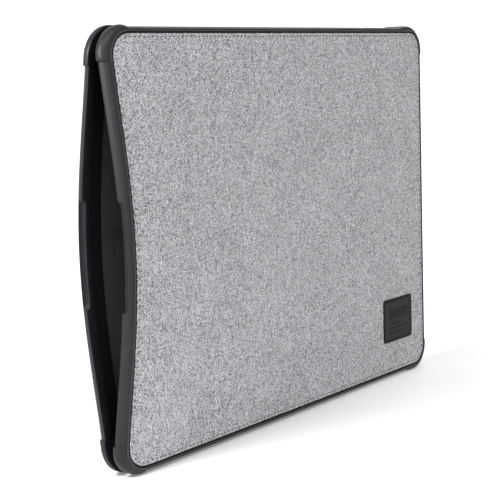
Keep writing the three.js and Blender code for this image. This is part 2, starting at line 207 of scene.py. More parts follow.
class SleeveStage(bpy.types.PropertyGroup):
    """Camera and lights."""
    camera: bpy.props.FloatVectorProperty(
        name="Camera", description="Place of the camera", default=(-0.7100, -0.4803, 0.2118),
        subtype="TRANSLATION", size=3, precision=4)
    heading: bpy.props.FloatProperty(
        name="Heading", description="Camera heading, from +Y towards +X", subtype="ANGLE",
        default=math.radians(54.66))
    pitch: bpy.props.FloatProperty(
        name="Pitch", description="How far the camera looks down", subtype="ANGLE",
        default=math.radians(7.35))
    roll: bpy.props.FloatProperty(
        name="Roll", description="Turn of the camera about its axis", subtype="ANGLE",
        default=math.radians(1.77))
    lens: ratio("Lens", "Focal length in millimetres", 103.4)
    backdrop: ratio("Backdrop", "Glow of the backdrop behind the sleeve", 0.85)
    world: ratio("World", "Strength of the light from all round", 0.18)
    floor_radius: length("Floor radius", "Flat part of the studio floor", 2.4)
    wall_radius: length("Sweep radius", "Radius of the sweep up to the wall", 1.1)


def mouth():
    return bpy.context.scene.sleeve_mouth


def rubber_frame():
    return bpy.context.scene.sleeve_frame


def panels():
    return bpy.context.scene.sleeve_panels


def colours():
    return bpy.context.scene.sleeve_colours


# ---------------------------------------------------------------- shape of the sleeve

def bow_out(u, h):
    """How far a panel stands off its flat plane: the bow of the mouth, less the lean of its ends."""
    m = mouth()
    along = np.clip((h - LINING_INSET) / (HEIGHT - 2 * LINING_INSET), 0, 1)
    bow = m.bow * np.abs(np.sin(np.pi * along)) ** m.power * np.maximum(0, 1 - u / m.reach) ** 2
    lean = 1 - u / FOLD
    return bow - m.pinch * (lean + np.sqrt(lean ** 2 + m.pinch_ease ** 2)) / 2


def settle(u, y, h):
    """Flat place (u, y, h) to its place in the sleeve's frame."""
    u, y, h = np.broadcast_arrays(u, y, h)
    return np.stack([u + MOUTH_X, y + np.sign(y) * bow_out(u, h), h + FOOT_Z], -1)


def smooth(value):
    """S-shaped ramp from 0 to 1."""
    value = np.clip(value, 0, 1)
    return value * value * (3 - 2 * value)


def new_object(name, points, faces, material, sharp=40, second=None, marked=None, rim_highlight_share=None):
    """A mesh object from points and faces, with doubles merged and its faces pointing out.

    The marked faces take the second material. The last argument gives each point a share of painted
    highlight, from 0 to 1.
    """
    mesh = bpy.data.meshes.new(name)
    mesh.from_pydata([tuple(p) for p in np.asarray(points).reshape(-1, 3)], [], faces)
    if marked is not None:
        mesh.polygons.foreach_set("material_index", np.asarray(marked, dtype=np.int32))
    if rim_highlight_share is not None:
        # Share of painted highlight for each point, read by the rubber.
        wear = mesh.attributes.new("wear", "FLOAT", "POINT")
        wear.data.foreach_set("value", np.asarray(rim_highlight_share, np.float32))
    work = bmesh.new()
    work.from_mesh(mesh)
    bmesh.ops.remove_doubles(work, verts=work.verts, dist=1e-6)
    bmesh.ops.dissolve_degenerate(work, edges=work.edges, dist=1e-7)
    bmesh.ops.recalc_face_normals(work, faces=work.faces)
    work.to_mesh(mesh)
    work.free()
    mesh.polygons.foreach_set("use_smooth", [True] * len(mesh.polygons))
    mesh.set_sharp_from_angle(angle=math.radians(sharp))
    mesh.materials.append(material)
    if second:
        mesh.materials.append(second)
    piece = bpy.data.objects.new(name, mesh)
    bpy.context.scene.collection.objects.link(piece)
    return piece


def join(target, *others):
    """Several objects of one body made into one mesh."""
    with bpy.context.temp_override(
            active_object=target, selected_editable_objects=[target, *others]):
        bpy.ops.object.join()
    return target


def ring_faces(rings, count, closed=False):
    """Faces between rings of points, each ring of the same count. Closed joins the last to the first."""
    return [
        (i * count + j, i * count + (j + 1) % count,
         (i + 1) % rings * count + (j + 1) % count, (i + 1) % rings * count + j)
        for i in range(rings if closed else rings - 1) for j in range(count)
    ]


def bend_with_lip(piece):
    """Bakes the piece's transform into its mesh."""
    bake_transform(piece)


# ---------------------------------------------------------------- stations round the frame

def facing_edge(h):
    """Mouth edge to the seat of the facing: further in behind the scoop."""
    m, p = mouth(), panels()
    past = m.scoop_length / 2 + p.facing_margin - np.abs(h - HEIGHT / 2)
    start = FACING_EDGE - p.facing_ease
    return start + (p.facing_scoop - start) * np.clip(past / m.scoop_ramp, 0, 1)


class Station:
    """A place on the frame's outer edge, the way in from there, and the section that it has.

    depth is the bead's, and reach is where the sewing flange ends. The inner face lies inner from the
    middle plane at its edge and inner_end at deep. proud is how far a bumper stands out. block goes from
    0 in a lip to 1 in a bumper, and scoop from 0 to 1 in the thumb scoop.
    """

    def __init__(self, zone, u, h, in_u, in_h, width, foot=BUMPER_FOOT):
        f = rubber_frame()
        self.zone, self.u, self.h = zone, u, h
        self.in_u, self.in_h, self.width = in_u, in_h, width
        self.depth, self.reach, self.scoop, self.block = f.bead_depth, f.flange_reach, 0.0, 1.0
        from_rail = min(h, HEIGHT - h)
        if u >= LENGTH / 2:
            self.shape_spine_half(from_rail)
            return
        self.open_slit()
        if zone == "mouth":
            self.thin_to_lip(smooth((foot - from_rail) / f.step + 0.5))
        else:
            run_out = f.fabric_radius + MOUTH_INSET
            self.proud = PROUD * (1 - smooth((u - run_out + f.ramp_early) / f.ramp_mouth))

    def open_slit(self):
        """Inner face in the mouth's half of the frame: apart at the slit, and shut past the lips."""
        f, m = rubber_frame(), mouth()
        slit = m.slit_start + (m.slit_end - m.slit_start) * min(1, max(0, self.u / FOLD))
        lean = m.pinch * max(0, 1 - self.u / FOLD)
        shut = min(1, max(0, (self.u - FLAP_END + SLIT_EASE) / (MAIN_START - FLAP_END)))
        open_share = math.sqrt(max(0, 1 - shut ** 2))
        self.inner = f.parting + (slit / 2 + lean - f.parting) * open_share
        self.inner_end = f.tight + (slit / 2 + m.pinch - f.tight) * open_share
        self.deep = f.channel + (f.flange_reach - f.channel) * (shut < 1)

    def thin_to_lip(self, rise):
        """Section along the mouth: a lip where rise is 0, and a bumper where it is 1."""
        f, m = rubber_frame(), mouth()
        lip, rim = HALF - m.lip_depth, self.width - f.groove
        into = (m.scoop_length / 2 - abs(self.h - HEIGHT / 2)) / m.scoop_ramp
        self.block, self.proud = rise, PROUD * rise
        self.inner = lip + (self.inner - lip) * rise
        self.depth = m.lip_depth + (f.bead_depth - m.lip_depth) * rise
        self.deep = rim + (f.flange_reach - rim) * (rise > 0.5)
        self.reach = m.lip_flange + (f.flange_reach - m.lip_flange) * (rise > 0.5)
        self.scoop = math.sqrt(1 - (1 - min(1, max(0, into))) ** 2)

    def shape_spine_half(self, from_rail):
        """Section in the spine's half of the frame: a bumper at each corner, and a channel between."""
        f = rubber_frame()
        from_spine = LENGTH - self.u
        straight = SPINE_RUNOUT - f.ramp_spine
        out = {"rail": 1 - smooth((from_spine - straight) / f.ramp_spine),
               "spine": 1 - smooth((from_rail - BUMPER_FOOT) / f.spine_step + 0.5)}
        block = {"rail": from_spine < SPINE_RUNOUT, "spine": from_rail < BUMPER_FOOT}
        self.proud = PROUD * out.get(self.zone, 1.0)
        self.inner, self.inner_end = f.parting, f.tight
        self.deep = f.flange_reach if block.get(self.zone, True) else f.channel


def side_stops(low, high, pitch, extra=()):
    """Evenly spaced places from low to high, with some added."""
    count, least_gap = max(2, round((high - low) / pitch) + 1), 0.04 * MM
    stops = np.concatenate([np.linspace(low, high, count), [e for e in extra if low < e < high]])
    stops = np.unique(np.round(stops, 7))
    return stops[np.concatenate([[True], np.diff(stops) > least_gap])]


def around(place, reach, count):
    """Closely spaced places on both sides of one."""
    return [place + reach * k / count for k in range(-count, count + 1)]


def frame_stations(foot=BUMPER_FOOT):
    """Stations round the whole frame, from the foot of the mouth up and round by the spine."""
    f, m = rubber_frame(), mouth()
    radius = f.fabric_radius
    corner = radius + EDGE_INSET
    run = {"mouth": radius + MOUTH_INSET, "spine": corner}
    turn_steps = 14

    def straight(zone, side, stops):
        found = []
        for stop in stops:
            if zone == "mouth":
                found.append(Station(zone, 0.0, stop, 1, 0, MOUTH_INSET, foot))
            elif zone == "spine":
                found.append(Station(zone, LENGTH, stop, -1, 0, EDGE_INSET))
            else:
                found.append(Station(zone, stop, HEIGHT if side > 0 else 0.0, 0, -side, EDGE_INSET))
        return found

    def bend(end, side, start):
        centre = np.array([run[end] if end == "mouth" else LENGTH - run[end],
                           HEIGHT - corner if side > 0 else corner])
        found = []
        for k in range(1, turn_steps):
            angle = start - k / turn_steps * math.pi / 2
            out = np.array([math.cos(angle), math.sin(angle)])
            edge = centre + out * (run[end], corner)
            inward = centre + out * radius - edge
            width = float(np.hypot(*inward))
            found.append(Station("corner", edge[0], edge[1], *(inward / width), width))
        return found

    def over_steps(height, step):
        return around(height, 0.5 * step, 4) + around(HEIGHT - height, 0.5 * step, 4)

    fine, coarse = 2.2 * MM, 4 * MM
    scoop = [HEIGHT / 2 + way * (m.scoop_length / 2 - m.scoop_ramp * (1 - math.cos(k * math.pi / 24)))
             for way in (-1, 1) for k in range(13)]
    mouth_heights = side_stops(corner, HEIGHT - corner, fine, over_steps(foot, f.step) + scoop)
    spine_heights = side_stops(corner, HEIGHT - corner, coarse, over_steps(BUMPER_FOOT, f.spine_step))
    block_end = LENGTH - SPINE_RUNOUT
    shut = [FLAP_END - SLIT_EASE + (MAIN_START - FLAP_END) * k / 6 for k in range(7)]
    rail = side_stops(run["mouth"], LENGTH - run["spine"], coarse,
                      around(run["mouth"] - f.ramp_early + f.ramp_mouth / 2, f.ramp_mouth / 2, 5) + shut
                      + [block_end - 0.1 * MM, block_end + 0.1 * MM]
                      + [block_end + f.ramp_spine * k / 6 for k in range(1, 7)])
    return [
        *straight("mouth", 0, mouth_heights), *bend("mouth", 1, math.pi),
        *straight("rail", 1, rail), *bend("spine", 1, math.pi / 2),
        *straight("spine", 0, spine_heights[::-1]), *bend("spine", -1, 0),
        *straight("rail", -1, rail[::-1]), *bend("mouth", -1, -math.pi / 2),
    ]


def carry(stations, section, side):
    """Settled points of a section of (distance in, y) carried round the stations."""
    rows = []
    for s in stations:
        shape = np.array(section(s))
        rows.append(settle(s.u + s.in_u * shape[:, 0], side * shape[:, 1], s.h + s.in_h * shape[:, 0]))
    return np.array(rows)


def inner_face(s):
    """Inner face of a half frame, from its deep end to its edge. A lip has the facing's seat there."""
    edge = rubber_frame().edge_round
    reach = np.array([1, 0.8, 0.6, 0.4, 0.2, 0]) * (s.deep - edge) + edge
    face = np.c_[reach, np.interp(reach, [0, s.deep], [s.inner, s.inner_end])]
    if s.block < 1:
        rim, lip = s.width - rubber_frame().groove, HALF - mouth().lip_depth
        seat, start = panels().facing + panels().facing_ease, float(facing_edge(s.h))
        chamfer = (0.08 * MM, 0.1 * MM)
        stepped = [(rim, lip + seat), (start, lip + seat), (start, lip + chamfer[1]),
                   (start - chamfer[0], lip), (0.5 * (start + edge), lip), (edge, lip)]
        face = face * s.block + np.array(stepped) * (1 - s.block)
    return [tuple(place) for place in face]


def frame_section(s):
    """Section of a half frame: inner face, inner edge, bead, rim, groove wall and sewing flange."""
    f, m = rubber_frame(), mouth()
    rim = s.width - f.groove
    run = rim * f.bead_share
    base = HALF - s.depth
    edge = f.edge_round
    points = inner_face(s)
    for k in range(1, 4):
        turn = k / 4 * math.pi / 2
        points.append((edge * (1 - math.sin(turn)), s.inner + edge * (1 - math.cos(turn))))
    crest = math.asin(m.scoop_depth / m.lip_depth)
    start = math.asin(min(0.9 * math.sin(crest), max(0, (s.inner + edge - base) / s.depth)))
    angles = [*np.linspace(start, crest, 6), *np.linspace(crest, math.pi / 2, 11)[1:]]
    points += [(run * (1 - math.cos(a)), base + s.depth * math.sin(a)) for a in angles]
    if s.scoop > 0:
        points = scooped(points, s, m)
    soft = 0.2 * MM
    points.append((rim - soft, HALF))
    for k in range(1, 4):
        turn = k / 3 * math.pi / 2
        points.append((rim - soft * (1 - math.sin(turn)), HALF - soft * (1 - math.cos(turn))))
    lift = f.bumper_lift * s.proud / PROUD
    bead = INNER_FACE + 3
    raised = points[:bead] + [(d, y + lift * (1 - (d / rim) ** 4)) for d, y in points[bead:]]
    shifted = [(d - s.proud * max(0, 1 - d / rim), y) for d, y in raised]
    return shifted + [(rim, f.flange_outer), (s.reach, f.flange_outer),
                      (s.reach, f.flange_inner), (s.deep, f.flange_inner)]


def shade_painted_face(here, ahead, j):
    """True where a face of the half frame takes the black facing material as painted shade: its inner face
    inside the mouth, and the floor of a scoop.
    """
    if max(here.u, ahead.u) >= FLAP_END:
        return False
    if min(here.scoop, ahead.scoop) > 0.5:
        return j < INNER_FACE - 2 or SCOOP_FLOOR <= j < CREST - 1
    return j < INNER_FACE + 1


def scooped(points, s, m):
    """The same outline with the thumb scoop cut: a small wall, a hollow floor and a crest."""
    first, last = INNER_FACE - 2, CREST
    lip = HALF - m.lip_depth
    foot = np.array([m.scoop_reach, lip + m.scoop_step])
    crest = np.array(points[last])
    hollow = 0.55 * MM
    fillet = ((0.30, 0), (0.14, 0.04), (0.03, 0.18))
    along = crest - foot
    normal = np.array([-along[1], along[0]]) / np.hypot(*along)
    cut = [(m.scoop_reach + d * MM, lip + y * MM) for d, y in fillet] + [tuple(foot)]
    floor = last - first - len(cut)
    for k in range(1, floor + 1):
        share = k / (floor + 1)
        cut.append(tuple(foot + along * share - normal * hollow * math.sin(math.pi * share)))
    mixed = [tuple(np.array(points[first + k]) * (1 - s.scoop) + np.array(c) * s.scoop)
             for k, c in enumerate(cut)]
    return points[:first] + mixed + points[last:]


# ---------------------------------------------------------------- layers with rounded corners

class Layer:
    """Grid of a thin sheet with rounded corners: rings round its edge and a plain grid inside.

    A ring has a share from 0, at the edge, to 1, at the corners' centres.
    """

    def __init__(self, u_low, u_high, h_low, h_high, radii, cells, turn_steps=10):
        self.mouth_radius, self.spine_radius, self.rise = radii
        self.centre_u = (u_low + self.mouth_radius, u_high - self.spine_radius)
        self.centre_h = (h_low + self.rise, h_high - self.rise)
        self.us = np.linspace(*self.centre_u, cells[0] + 1)
        self.hs = np.linspace(*self.centre_h, cells[1] + 1)
        self.turn_steps = turn_steps

    def ring(self, share):
        """Places (u, h) round the sheet at one share."""
        left = 1 - share
        (u0, u1), (h0, h1) = self.centre_u, self.centre_h
        a0, a1, b = self.mouth_radius * left, self.spine_radius * left, self.rise * left
        turn = np.arange(1, self.turn_steps) / self.turn_steps * math.pi / 2

        def corner(u, h, a, start):
            return np.c_[u + a * np.cos(start + turn), h + b * np.sin(start + turn)]

        return np.concatenate([
            np.c_[self.us, np.full_like(self.us, h0 - b)], corner(u1, h0, a1, -math.pi / 2),
            np.c_[np.full_like(self.hs, u1 + a1), self.hs], corner(u1, h1, a1, 0),
            np.c_[self.us[::-1], np.full_like(self.us, h1 + b)], corner(u0, h1, a0, math.pi / 2),
            np.c_[np.full_like(self.hs, u0 - a0), self.hs[::-1]], corner(u0, h0, a0, math.pi),
        ])

    def middle_of_ring(self):
        """Index in the inner grid of each place of the ring with share 1."""
        wide, tall = len(self.us), len(self.hs)

        def at(i, j):
            return j * wide + i

        def hold(i, j):
            return [at(i, j)] * (self.turn_steps - 1)

        return [
            *[at(i, 0) for i in range(wide)], *hold(wide - 1, 0),
            *[at(wide - 1, j) for j in range(tall)], *hold(wide - 1, tall - 1),
            *[at(i, tall - 1) for i in reversed(range(wide))], *hold(0, tall - 1),
            *[at(0, j) for j in reversed(range(tall))], *hold(0, 0),
        ]

    def half(self, distances, height):
        """Points and faces of one side. height gives y from (distance from the edge, u, h)."""
        points = []
        for distance in distances:
            ring = self.ring(distance / self.rise)
            points.append(settle(ring[:, 0], height(distance, ring[:, 0], ring[:, 1]), ring[:, 1]))
        u, h = np.meshgrid(self.us, self.hs)
        u, h = u.ravel(), h.ravel()
        points.append(settle(u, height(self.rise, u, h), h))
        around_count = len(points[0])
        grid_start = len(distances) * around_count
        rows = [list(range(k * around_count, (k + 1) * around_count)) for k in range(len(distances))]
        rows.append([grid_start + index for index in self.middle_of_ring()])
        faces = []
        for near, far in zip(rows, rows[1:]):
            for j in range(around_count):
                ahead = (j + 1) % around_count
                face = list(dict.fromkeys([near[j], near[ahead], far[ahead], far[j]]))
                if len(face) > 2:
                    faces.append(face)
        wide = len(self.us)
        for j in range(len(self.hs) - 1):
            for i in range(wide - 1):
                corner = grid_start + j * wide + i
                faces.append([corner, corner + 1, corner + wide + 1, corner + wide])
        return np.concatenate(points), faces

    def solid(self, name, outer, inner, material, sharp=60):
        """A closed sheet from its two sides, which share ring 0.

        Each side is a list of ring distances and a function for its height.
        """
        outside, faces = self.half(*outer)
        inside, inside_faces = self.half(*inner)
        shift = len(outside)
        faces += [[shift + index for index in reversed(face)] for face in inside_faces]
        return new_object(name, np.concatenate([outside, inside]), faces, material, sharp)


def rolled(distance, radius):
    """Share of the way up a rounded edge of this radius, at a distance in from it."""
    return math.sqrt(max(0, 1 - (1 - min(1, distance / radius)) ** 2))


# ---------------------------------------------------------------- materials

class Signal:
    """An output socket of a material. Arithmetic with numbers or other signals adds Math nodes."""

    def __init__(self, recipe, socket):
        self.recipe, self.socket = recipe, socket

    def math(self, operation, *others):
        """A Math node with this signal first."""
        return self.recipe.calculate(operation, self, *others)

    def output(self, name):
        """Another output of the same node."""
        return Signal(self.recipe, self.socket.node.outputs[name])

    def __add__(self, other):
        return self.math("ADD", other)

    def __sub__(self, other):
        return self.math("SUBTRACT", other)

    def __rsub__(self, other):
        return self.recipe.calculate("SUBTRACT", other, self)

    def __mul__(self, other):
        return self.math("MULTIPLY", other)

    def __truediv__(self, other):
        return self.math("DIVIDE", other)

    def __mod__(self, other):
        return self.math("FLOORED_MODULO", other)

    __radd__, __rmul__ = __add__, __mul__


def feed(tree, target, value):
    """Links a socket or a signal to the target input, or sets the input's own value."""
    source = value.socket if isinstance(value, Signal) else value
    if isinstance(source, bpy.types.NodeSocket):
        tree.links.new(source, target)
    else:
        target.default_value = value


class Recipe:
    """A material in the making: one Principled surface and the nodes that feed it."""

    def __init__(self, name, **constants):
        self.material = bpy.data.materials.new(name)
        self.material.use_nodes = True
        self.tree = self.material.node_tree
        self.surface = self.tree.nodes["Principled BSDF"]
        for key, value in constants.items():
            self.surface.inputs[key.replace("_", " ")].default_value = value
        self.place = self.add("ShaderNodeTexCoord").output("Object")

    def add(self, kind, settings=None, inputs=None):
        """A node of a kind, with its settings first and then values or signals on its inputs."""
        node = self.tree.nodes.new(kind)
        for key, value in (settings or {}).items():
            if key == "stops":
                ramp = node.color_ramp.elements
                while len(ramp) < len(value):
                    ramp.new(0.5)
                for element, (position, level) in zip(ramp, value):
                    element.position = position
                    element.color = (level, level, level, 1)
            else:
                setattr(node, key, value)
        for key, value in (inputs or {}).items():
            feed(self.tree, node.inputs[key], value)
        return Signal(self, node.outputs[0])

    def calculate(self, operation, *values):
        return self.add("ShaderNodeMath", {"operation": operation}, dict(enumerate(values)))

    def axes(self):
        """The object's own coordinates in metres, with outputs X, Y and Z."""
        return self.add("ShaderNodeSeparateXYZ", {}, {0: self.place})

    def noise(self, scale, detail=2.0, roughness=0.5, stretch=None):
        """Noise of about 1/scale in size, from 0 to 1, on the object's own coordinates in metres."""
        vector = self.place
        if stretch:
            vector = self.add("ShaderNodeVectorMath", {"operation": "MULTIPLY"}, {0: vector, 1: stretch})
        return self.add("ShaderNodeTexNoise", {}, {
            "Vector": vector, "Scale": scale, "Detail": detail, "Roughness": roughness})

    def ramp(self, signal, *stops):
        """Grey levels between stops of (position, level)."""
        return self.add("ShaderNodeValToRGB", {"stops": stops}, {"Fac": signal})

    def mix(self, share, first, second):
        """Colour between two, each a colour or a signal."""
        first, second = (c if isinstance(c, Signal) else (*c, 1) for c in (first, second))
        mixed = self.add("ShaderNodeMix", {"data_type": "RGBA"}, {"Factor": share, 6: first, 7: second})
        return mixed.output(2)

    def bump(self, height, distance, strength):
        return self.add("ShaderNodeBump", {}, {"Height": height, "Distance": distance, "Strength": strength})

    def finish(self, **signals):
        """Feeds the surface's inputs, named with _ for a space, and gives the material."""
        for key, signal in signals.items():
            feed(self.tree, self.surface.inputs[key.replace("_", " ")], signal)
        return self.material

    def even(self, texture, tint, shades, roughness, relief):
        """The material where shade, roughness and bump all follow one texture.

        shades are the factors of the tint at 0 and 1, roughness its value at 0 and its rise, and relief
        the bump's distance and strength.
        """
        return self.finish(
            Base_Color=self.mix(texture, shade(tint, shades[0]), shade(tint, shades[1])),
            Roughness=roughness[0] + roughness[1] * texture, Normal=self.bump(texture, *relief))


def shade(tint, factor):
    """The tint made darker or lighter."""
    return tuple(min(1, c * factor) for c in tint)


def rubber_material():
    """Satin moulded rubber: a fine spark-eroded grain, slow mottling, a little rubbed shine, and a painted
    highlight on the rim strip.
    """
    r = Recipe("moulded_rubber", Specular_IOR_Level=0.24)
    tint = colours().rubber
    mottle = r.noise(38, 3, 0.55)
    grain = r.noise(5200, 2, 0.6)
    rub = r.ramp(r.noise(140, 4, 0.65), (0.52, 0.0), (0.78, 1.0))
    base = r.mix(mottle, shade(tint, 0.9), shade(tint, 1.12))
    base = r.mix(rub * 0.35, base, shade(tint, 1.3))
    # Painted highlight: points with a share in this attribute, the frame's rim strip, are made lighter as if
    # catching the light.
    wear = r.add("ShaderNodeAttribute", {"attribute_name": "wear"}).output("Fac")
    base = r.mix(wear * (0.55 + 0.45 * rub), base, shade(tint, 2.6))
    return r.finish(Base_Color=base, Roughness=0.40 + 0.12 * grain - 0.05 * rub,
                    Normal=r.bump(grain + r.noise(1500, 2, 0.5) * 0.7, 0.018 * MM, 0.55))


def weave_material():
    """Heathered plain weave: each yarn keeps its own shade for a stretch, and crosses over and under."""
    p, c = panels(), colours()
    r = Recipe("heather_weave", Specular_IOR_Level=0.25, Sheen_Weight=0.22, Sheen_Roughness=0.6)
    axes = r.axes()
    across, up = axes.output("X") / p.yarn, axes.output("Z") / p.yarn
    wobble = (r.noise(420, 1) - 0.5) * 0.5
    across, up = across + wobble, up + wobble
    warp, weft = across.math("FLOOR"), up.math("FLOOR")
    over = (warp + weft) % 2

    def yarn_shade(number, along, reach, shift):
        cell = r.add("ShaderNodeCombineXYZ", {}, {0: number * 3.17 + shift, 1: along / reach, 2: shift})
        return r.add("ShaderNodeTexNoise", {"noise_dimensions": "2D"}, {
            "Vector": cell, "Scale": 1.0, "Detail": 1.5, "Roughness": 0.6})

    warp_shade = yarn_shade(warp, up, 2.2, 11.0)
    weft_shade = yarn_shade(weft, across, 1.8, 47.0)
    tone = over * warp_shade + (1 - over) * weft_shade
    cell = r.add("ShaderNodeTexWhiteNoise", {"noise_dimensions": "2D"}, {
        "Vector": r.add("ShaderNodeCombineXYZ", {}, {0: warp, 1: weft})})
    slub = r.noise(1.0, 2, 0.5, stretch=(800, 800, 150))
    cloud = r.noise(45, 3, 0.6)
    tone = tone * 0.36 + cell * 0.36 + slub * 0.20 + cloud * 0.08
    fleck = r.ramp(tone, (0.34, 0.0), (0.66, 1.0))
    base = r.mix(fleck, tuple(c.yarn_dark), tuple(c.yarn_light))
    from_warp = (across % 1) * 2 - 1
    from_weft = (up % 1) * 2 - 1
    round_warp = 1 - from_warp * from_warp
    round_weft = 1 - from_weft * from_weft
    height = (over * round_warp * (0.55 + 0.45 * round_weft)
              + (1 - over) * round_weft * (0.55 + 0.45 * round_warp))
    fibre = r.noise(6000, 2, 0.7)
    return r.finish(Base_Color=base, Roughness=0.8 + 0.15 * fibre,
                    Normal=r.bump(height + fibre * 0.25, 0.09 * MM, 0.6))


def thread_material():
    """Bonded sewing thread with a tight twist."""
    r = Recipe("sewing_thread", Specular_IOR_Level=0.35)
    twist = r.noise(3800, 2, 0.6)
    return r.even(twist, colours().thread, (0.6, 1.15), (0.5, 0.25), (0.05 * MM, 0.6))


def hole_shadow_material():
    """Painted shadow: near-black colour for the dimple where the needle went through."""
    r = Recipe("needle_hole_shadow", Specular_IOR_Level=0.1)
    tone = r.noise(2500, 2, 0.5)
    return r.finish(Base_Color=r.mix(tone, (0.012, 0.012, 0.013), (0.03, 0.03, 0.032)),
                    Roughness=0.9 + 0.05 * tone)


def lining_material():
    """Brushed lining: a short nap that lies in soft streaks, gathered in fine creases near the mouth, with
    painted shade along the creases.
    """
    r = Recipe("brushed_lining", Specular_IOR_Level=0.12, Sheen_Weight=0.08, Sheen_Roughness=0.5)
    tint = colours().lining
    nap = r.noise(1.0, 4, 0.65, stretch=(900, 900, 2600))
    streak = r.noise(1.0, 3, 0.55, stretch=(30, 30, 110))
    axes = r.axes()
    patch_radius, pitch, wander = 14 * MM, 1.15 * MM, 3 * MM
    run, rise = axes.output("X") - (MOUTH_X + CREASE_U), axes.output("Z") - (FOOT_Z + CREASE_H)
    away = (run * run + rise * rise) / patch_radius ** 2
    phase = (rise - run * 0.12 + r.noise(70, 2, 0.5) * wander) * (2 * math.pi / pitch)
    crease = phase.math("SINE") * r.ramp(away, (0.1, 1.0), (1.0, 0.0))
    base = r.mix(nap * 0.6 + streak * 0.4, shade(tint, 0.72), shade(tint, 1.3))
    # Painted shade: the colour darkens and lightens with the creases' wave in the patch near the mouth.
    base = r.mix(crease * 0.2 + 0.1, base, shade(tint, 0.45))
    return r.finish(Base_Color=base, Roughness=0.82 + 0.14 * nap,
                    Normal=r.bump(nap * 0.1 + streak * 0.2 + crease, 0.2 * MM, 0.7))


def facing_material():
    """Smooth coated strip with a faint pebble."""
    r = Recipe("coated_facing", Specular_IOR_Level=0.22)
    tint = colours().facing
    pebble = r.add("ShaderNodeTexVoronoi", {"feature": "SMOOTH_F1"}, {"Vector": r.place, "Scale": 1400})
    mottle = r.noise(90, 3, 0.6)
    base = r.mix(mottle, shade(tint, 0.8), shade(tint, 1.4))
    return r.finish(Base_Color=base, Roughness=0.5 + 0.16 * mottle, Normal=r.bump(pebble, 0.03 * MM, 0.5))


def welt_material():
    """Black ribbed welt."""
    r = Recipe("seam_welt_black", Specular_IOR_Level=0.08)
    rib = r.noise(2600, 2, 0.5)
    return r.even(rib, colours().welt, (0.7, 1.5), (0.62, 0.2), (0.05 * MM, 0.5))


def label_material():
    """Soft rubber patch with a fine leather-like grain and a darker, glossier border."""
    r = Recipe("label_rubber", Specular_IOR_Level=0.06)
    tint = colours().label
    grain = r.add("ShaderNodeTexVoronoi", {"feature": "DISTANCE_TO_EDGE"}, {"Vector": r.place, "Scale": 1900})
    crease = r.ramp(grain, (0.0, 0.0), (0.16, 1.0))
    mottle = r.noise(160, 3, 0.6)
    low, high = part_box("label_patch")
    axes = r.axes()
    past_field = []
    for axis, near, far in (("X", low.x, high.x), ("Z", low.z, high.z)):
        off_centre = (axes.output(axis) - (near + far) / 2).math("ABSOLUTE")
        past_field.append(off_centre - ((far - near) / 2 - panels().label_border))
    soft = 0.6 * MM
    border = r.ramp(past_field[0].math("MAXIMUM", past_field[1]) / soft, (0.0, 0.0), (1.0, 1.0))
    base = r.mix(mottle * 0.7 + crease * 0.3, shade(tint, 0.8), shade(tint, 1.25))
    base = r.mix(border, base, shade(tint, 0.42))
    return r.finish(Base_Color=base, Roughness=0.56 + 0.14 * mottle - 0.1 * border,
                    Normal=r.bump(crease, 0.02 * MM, 0.5))


def label_mark_material():
    """The embossed bars of the patch: darker and smoother than its field."""
    r = Recipe("label_marks", Specular_IOR_Level=0.06)
    mottle = r.noise(900, 2, 0.6)
    return r.even(mottle, shade(colours().label, 0.34), (0.85, 1.2), (0.4, 0.12), (0.01 * MM, 0.4))


def foam_material():
    """Closed-cell foam."""
    r = Recipe("closed_cell_foam", Specular_IOR_Level=0.2)
    cell = r.add("ShaderNodeTexVoronoi", {"feature": "F1"}, {"Vector": r.place, "Scale": 1700})
    return r.even(cell, colours().foam, (1.3, 0.6), (0.8, 0.15), (0.15 * MM, 0.7))


def board_material():
    """Pressed fibre board."""
    r = Recipe("fibre_board", Specular_IOR_Level=0.3)
    fibre = r.noise(1.0, 4, 0.7, stretch=(700, 700, 2400))
    return r.even(fibre, colours().board, (0.7, 1.25), (0.7, 0.2), (0.04 * MM, 0.6))


MATERIALS = {
    "rubber": rubber_material, "weave": weave_material, "thread": thread_material,
    "lining": lining_material, "facing": facing_material, "welt": welt_material,
    "label": label_material, "label_mark": label_mark_material, "hole": hole_shadow_material,
    "foam": foam_material, "board": board_material,
}
made_materials = {}


def material(name):
    """The material of that name, made when it is first asked for."""
    if name not in made_materials:
        made_materials[name] = MATERIALS[name]()
    return made_materials[name]


# ---------------------------------------------------------------- pieces

class SLEEVE_OT_frame(bpy.types.Operator):
    """Two rubber half frames with corner bumpers, lips and thumb scoops"""
    bl_idname = "sleeve.frame"
    bl_label = "Rubber Frame"

    def execute(self, context):
        for face, side in FACES:
            stations = frame_stations(BUMPER_FOOT + (rubber_frame().back_foot if side > 0 else 0))
            points = carry(stations, frame_section, side)
            rows, columns = points.shape[:2]
            # Painted shade: the frame's inner faces inside the mouth and the scoop floors take the black
            # facing material.
            marked = [shade_painted_face(stations[i], stations[(i + 1) % rows], j)
                      for i in range(rows) for j in range(columns)]
            # Painted highlight on the rim strip between the bead and the groove, all round the frame.
            rim_highlight_share = [float(BEAD_END <= j < RIM_END) for i in range(rows) for j in range(columns)]
            piece = new_object(
                f"{face}_half_frame", points, ring_faces(rows, columns, closed=True), material("rubber"),
                sharp=50, second=material("facing"), marked=marked, rim_highlight_share=rim_highlight_share)
            bend_with_lip(piece)
            own_rails = {"front": ("top_rail", "spine_top_bumper"),
                         "back": ("bottom_rail", "spine_bottom_bumper", "spine_rail")}[face]
            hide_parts(f"{face}_lip", f"{face}_mouth_top_bumper", f"{face}_mouth_bottom_bumper",
                        *own_rails)
        return {"FINISHED"}


